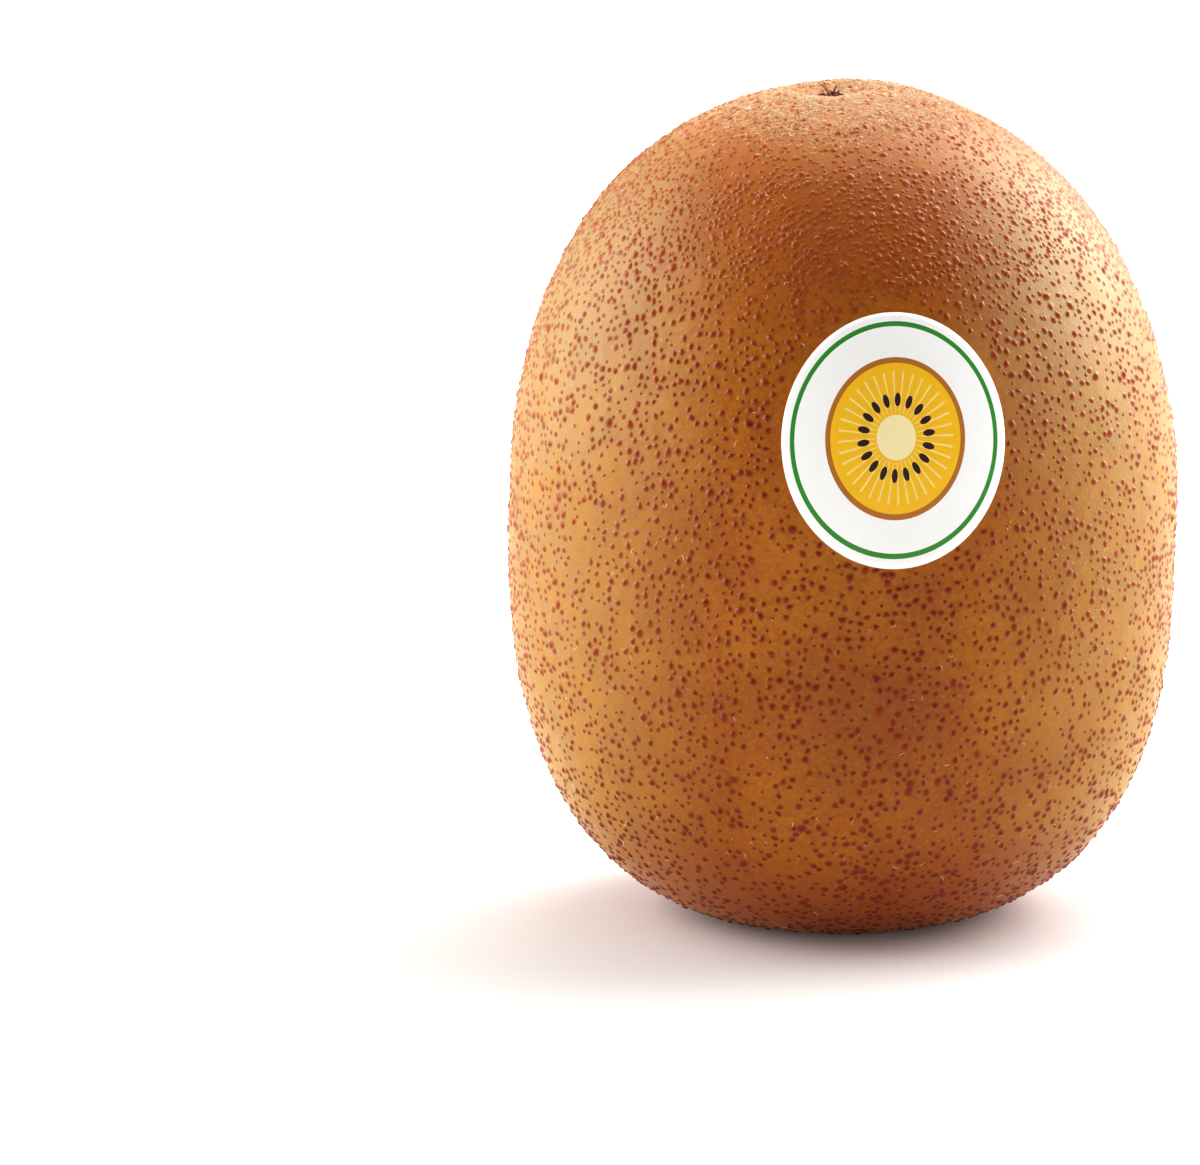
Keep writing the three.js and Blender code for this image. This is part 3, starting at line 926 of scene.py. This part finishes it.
# %% [markdown]
# ## The dry tuft at the blossom end
#
# The flower's styles dry into a dark twisted tuft that stays in the dimple. Each style is a tapered tube
# along a wandering path. They start close together and fan out, and three pale strands lean away to the
# left.

# %% Twist the styles
STYLE_COUNT = 18
STYLE_RADII = [0.1, 0.11, 0.1, 0.09, 0.08, 0.07, 0.04]
STRAND_LEANS = (-1.0, -0.7, -0.4)
STRAND_RADII = [0.08, 0.08, 0.07, 0.07, 0.06, 0.06, 0.05, 0.04, 0.03]
STRAND_LENGTH = 1.6
STYLE_SIDES = 6
STYLE_DARK = (0.085, 0.02, 0.022)
STYLE_PALE = (0.60, 0.27, 0.22)
STYLE_BROWN = (0.13, 0.045, 0.03)


def wander(start, heading, length, steps, draw, unrest):
    """A path that starts with a heading and strays from it."""
    path = [Vector(start)]
    heading = Vector(heading).normalized()
    for _ in range(steps):
        heading = (heading + Vector([draw.uniform(-unrest, unrest) for _ in range(3)])).normalized()
        path.append(path[-1] + heading * (length / steps))
    return path


def join_parts(name, parts):
    """One mesh from several lists of points and faces, each with a number that is kept as its tone."""
    points, faces, tones = [], [], []
    for part_points, part_faces, tone in parts:
        first = len(points)
        points.extend(part_points)
        faces.extend(tuple(first + index for index in face) for face in part_faces)
        tones.extend([tone] * len(part_points))
    mesh = bpy.data.meshes.new(name)
    mesh.from_pydata(points, [], faces)
    write_attribute(mesh, "tone", tones)
    return mesh


blossom_foot = skin_point(toward([*BLOSSOM, FRUIT_HEIGHT]))
parts = []
for number in range(STYLE_COUNT):
    angle = 2 * math.pi * number / STYLE_COUNT + draw.uniform(-0.3, 0.3)
    reach = draw.uniform(0.05, 0.45)
    start = Vector(blossom_foot) + Vector((reach * math.cos(angle), reach * math.sin(angle), 0.0))
    heading = (1.2 * math.cos(angle), 1.2 * math.sin(angle), draw.uniform(0.6, 1.8))
    path = wander(start, heading, draw.uniform(0.7, 1.25), len(STYLE_RADII) - 1, draw, 0.9)
    points, faces = tube(path, STYLE_RADII, STYLE_SIDES)
    parts.append(([point * MM for point in points], faces, draw.uniform(0, 0.5)))
strand_foot = Vector(blossom_foot) + Vector((-0.2, -0.2, 0.2))
for lean in STRAND_LEANS:
    path = wander(strand_foot, (lean, -0.2, 1.0), STRAND_LENGTH, len(STRAND_RADII) - 1, draw, 0.25)
    points, faces = tube(path, STRAND_RADII, STYLE_SIDES)
    parts.append(([point * MM for point in points], faces, 1.0))
tuft = add_piece("dry_styles", join_parts("dry_styles", parts))

style_paint, tree, shader = new_material("dry style", 0.55)
own = add_node(tree, "ShaderNodeAttribute", attribute_name="tone").outputs["Fac"]
place = add_node(tree, "ShaderNodeTexCoord").outputs["Object"]
dry = mix_colour(tree, own, STYLE_DARK, STYLE_PALE)
mottle = between(tree, noise_field(tree, place, 0.25), 0.4, 0.7, 0, 0.6)
tree.links.new(mix_colour(tree, mottle, dry, STYLE_BROWN), shader.inputs["Base Color"])
tree.links.new(leather_bump(tree, place, 0.02), shader.inputs["Normal"])
tuft.data.materials.append(style_paint)
print("styles:", len(parts), "faces:", len(tuft.data.polygons))

# %% [markdown]
# ## The scar of the stalk
#
# Underneath, in the dimple of the stem end, is the woody scar that the stalk left: a rough disc of cork
# with a raised lip, radial cracks and a soft pith in the middle. It is a grid of rings and spokes whose
# height follows a rule, turned to face down.

# %% Shape the scar
SCAR_RADIUS = 2.45
SCAR_STAND = 0.75
SCAR_SPOKES = 48
SCAR_STEPS = 12
PITH_BROWN = (0.42, 0.24, 0.11)
CORK_DARK = (0.10, 0.045, 0.02)
CORK_SPECK = (0.16, 0.08, 0.035)


def scar_height(share, angle):
    """How far the cork stands out, from the middle (share 0) to the edge (share 1)."""
    lip = 0.35 * math.exp(-(((share - 0.72) / 0.14) ** 2))
    pith = -0.3 * math.exp(-((share / 0.2) ** 2))
    crack = -0.16 * max(0.0, math.sin(angle * 9 + 2.5 * math.sin(3 * angle))) ** 6 * math.sin(math.pi * share)
    rough = 0.12 * noise.noise(Vector((4 * share * math.cos(angle), 4 * share * math.sin(angle), 0)))
    edge = min(1.0, (1 - share) / 0.16)
    return (SCAR_STAND + lip + pith + crack + rough) * edge - 0.3 * (1 - edge)


dimple_radius, dimple_depth = STEM_DIMPLE
scar_points = [(0.0, 0.0, (dimple_depth - scar_height(0, 0)) * MM)]
for step in range(1, SCAR_STEPS + 1):
    share = step / SCAR_STEPS
    floor_here = dimple_depth * bell(np.array(share * SCAR_RADIUS / dimple_radius)).item()
    for spoke in range(SCAR_SPOKES):
        angle = 2 * math.pi * spoke / SCAR_SPOKES
        reach = share * SCAR_RADIUS * (1 + 0.04 * math.sin(5 * angle + 1))
        down = floor_here - scar_height(share, angle)
        scar_points.append((reach * math.cos(angle) * MM, reach * math.sin(angle) * MM, down * MM))
scar_faces = [(face[0], *reversed(face[1:])) for face in disc_faces(0, SCAR_STEPS, SCAR_SPOKES)]
scar_mesh = bpy.data.meshes.new("stem_scar")
scar_mesh.from_pydata(scar_points, [], scar_faces)
scar = add_piece("stem_scar", scar_mesh)

cork_paint, tree, shader = new_material("cork", 0.8)
place = add_node(tree, "ShaderNodeTexCoord").outputs["Object"]
from_axis = add_node(tree, "ShaderNodeVectorMath", {0: place}, operation="LENGTH").outputs["Value"]
rim = fade(tree, from_axis, 1.1, 2.5)
cork = mix_colour(tree, rim, PITH_BROWN, CORK_DARK)
speck = between(tree, noise_field(tree, place, 0.3, detail=5), 0.45, 0.65, 0, 0.7)
tree.links.new(mix_colour(tree, speck, cork, CORK_SPECK), shader.inputs["Base Color"])
tree.links.new(leather_bump(tree, place, 0.04), shader.inputs["Normal"])
scar_mesh.materials.append(cork_paint)
print("scar, mm:", [round(size / MM, 2) for size in scar.dimensions])

# %% [markdown]
# ## The paper label
#
# The label is a grid of rings laid over the skin, a tenth of a millimetre thick. It keeps the flat
# coordinates of its pattern as a UV map, in which the print is drawn: a thin green ring and a round slice
# with its rays and seeds.

# %% Lay the label on the skin
LABEL_RINGS = 24
LABEL_SPOKES = 96
LABEL_GAP = 0.05
LABEL_THICKNESS = 0.1
PATTERN_SPAN = 100

shares = np.repeat(np.arange(1, LABEL_RINGS + 1) / LABEL_RINGS, LABEL_SPOKES)
angles = np.tile(np.arange(LABEL_SPOKES) * 2 * math.pi / LABEL_SPOKES, LABEL_RINGS)
flat_across = np.append(0, LABEL_WIDTH / 2 * shares * np.cos(angles))
flat_along = np.append(0, LABEL_HEIGHT / 2 * shares * np.sin(angles))
carried = under_label(flat_across, flat_along)
outward = skin_normal(carried)
label_front = skin_point(carried) + outward * (LABEL_GAP + LABEL_THICKNESS)
label_back = skin_point(carried) + outward * LABEL_GAP

front_count = len(label_front)
rim_first = 1 + (LABEL_RINGS - 1) * LABEL_SPOKES
label_faces = disc_faces(0, LABEL_RINGS, LABEL_SPOKES)
label_faces += [tuple(reversed(face)) for face in disc_faces(front_count, LABEL_RINGS, LABEL_SPOKES)]
for spoke in range(LABEL_SPOKES):
    here, after = rim_first + spoke, rim_first + (spoke + 1) % LABEL_SPOKES
    label_faces.append((here, front_count + here, front_count + after, after))
label_mesh = bpy.data.meshes.new("paper_label")
label_mesh.from_pydata((np.vstack([label_front, label_back]) * MM).tolist(), [], label_faces)
print_map = label_mesh.uv_layers.new(name="print")
for loop in label_mesh.loops:
    index = loop.vertex_index % front_count
    print_map.data[loop.index].uv = (
        flat_across[index] / PATTERN_SPAN + 0.5,
        flat_along[index] / PATTERN_SPAN + 0.5,
    )
label = add_piece("paper_label", label_mesh)
print("label faces:", len(label_mesh.polygons))

# %% [markdown]
# ## The print on the label
#
# The drawing is made of ovals. An oval is everything whose distance from its middle, measured with a
# different ruler for each axis, is less than 1. The seeds repeat round the middle: the angle is cut into
# equal sectors, and each sector holds one small oval and two pale rays.

# %% Draw the print
# The slice is in mm, the green ring in shares of the label, and what the slice shows in shares of the slice.
SLICE_ACROSS, SLICE_ALONG = 5.7, 6.5
GREEN_RING = (0.885, 0.925)
FLESH_SHARE = 0.93
CORE_SHARE = 0.28
RAY_BAND = (0.3, 0.82)
RAY_HALF_WIDTH = 0.1
SEED_COUNT = 18
SEED_SHARE = 0.47
SEED_HALF_WIDTH, SEED_HALF_LENGTH = 0.042, 0.085
WHITE = (0.98, 0.98, 0.97)
GREEN = (0.045, 0.30, 0.04)
YELLOW = (0.93, 0.56, 0.02)
PALE = (0.97, 0.86, 0.50)
RIND = (0.50, 0.20, 0.03)
SEED = (0.05, 0.015, 0.008)


def oval(tree, across, along, half_width, half_height):
    """The distance from the middle of an oval, 1 on its edge."""
    squares = [
        calculate(tree, "POWER", calculate(tree, "ABSOLUTE", calculate(tree, "DIVIDE", value, half)), 2.0)
        for value, half in ((across, half_width), (along, half_height))
    ]
    return calculate(tree, "SQRT", calculate(tree, "ADD", *squares))


def band(tree, distance, low, high):
    """1 where a distance is between two values."""
    past_low = calculate(tree, "GREATER_THAN", distance, low)
    before_high = calculate(tree, "LESS_THAN", distance, high)
    return calculate(tree, "MULTIPLY", past_low, before_high)


def from_middle(tree, coordinate):
    """How far a coordinate of the print map lies from the middle of the pattern, in mm."""
    return calculate(tree, "MULTIPLY", calculate(tree, "SUBTRACT", coordinate, 0.5), float(PATTERN_SPAN))


paper_paint, tree, shader = new_material("printed paper", 0.38, Coat_Weight=0.15, Coat_Roughness=0.25)
flat = add_node(tree, "ShaderNodeUVMap", uv_map="print").outputs["UV"]
axes = add_node(tree, "ShaderNodeSeparateXYZ", {"Vector": flat}).outputs
across = from_middle(tree, axes["X"])
along = from_middle(tree, axes["Y"])
edge = oval(tree, across, along, LABEL_WIDTH / 2, LABEL_HEIGHT / 2)
in_slice = oval(tree, across, along, SLICE_ACROSS, SLICE_ALONG)

share_along = calculate(tree, "DIVIDE", along, SLICE_ALONG)
share_across = calculate(tree, "DIVIDE", across, SLICE_ACROSS)
angle = calculate(tree, "ARCTAN2", share_along, share_across)
sectors = calculate(tree, "MULTIPLY", calculate(tree, "DIVIDE", angle, 2 * math.pi), float(SEED_COUNT))
in_sector = calculate(tree, "SUBTRACT", calculate(tree, "FRACT", sectors), 0.5)
sector_width = calculate(tree, "MULTIPLY", in_slice, 2 * math.pi / SEED_COUNT)
sideways = calculate(tree, "MULTIPLY", in_sector, sector_width)
outwards = calculate(tree, "SUBTRACT", in_slice, SEED_SHARE)
in_seed = oval(tree, sideways, outwards, SEED_HALF_WIDTH, SEED_HALF_LENGTH)

half_sectors = calculate(tree, "FRACT", calculate(tree, "MULTIPLY", sectors, 2.0))
off_ray = calculate(tree, "ABSOLUTE", calculate(tree, "SUBTRACT", half_sectors, 0.5))
on_ray = calculate(tree, "LESS_THAN", off_ray, RAY_HALF_WIDTH)
rays = calculate(tree, "MULTIPLY", on_ray, band(tree, in_slice, *RAY_BAND))

ink = mix_colour(tree, band(tree, edge, *GREEN_RING), WHITE, GREEN)
ink = mix_colour(tree, calculate(tree, "LESS_THAN", in_slice, 1.0), ink, RIND)
ink = mix_colour(tree, calculate(tree, "LESS_THAN", in_slice, FLESH_SHARE), ink, YELLOW)
ink = mix_colour(tree, calculate(tree, "MULTIPLY", rays, 0.6), ink, PALE)
ink = mix_colour(tree, calculate(tree, "LESS_THAN", in_slice, CORE_SHARE), ink, PALE)
ink = mix_colour(tree, calculate(tree, "LESS_THAN", in_seed, 1.0), ink, SEED)
tree.links.new(ink, shader.inputs["Base Color"])
place = add_node(tree, "ShaderNodeTexCoord").outputs["Object"]
fibre = noise_field(tree, place, 0.4, detail=3)
bump = add_node(tree, "ShaderNodeBump", {"Height": fibre, "Distance": 0.004 * MM, "Strength": 0.6})
tree.links.new(bump.outputs["Normal"], shader.inputs["Normal"])
label_mesh.materials.append(paper_paint)
print("print nodes:", len(tree.nodes))

# %% [markdown]
# ## Join the looks to the solid model
#
# Every piece rides on the one rigid body. The skin stands for the fruit's solid and the paper for the
# label's, and those two solids are then hidden.

# %% Ride, replace and finish
for piece in [skin, *warts, *hairs, tuft, scar, label]:
    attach(piece, "root")
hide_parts("fruit")
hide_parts("label")
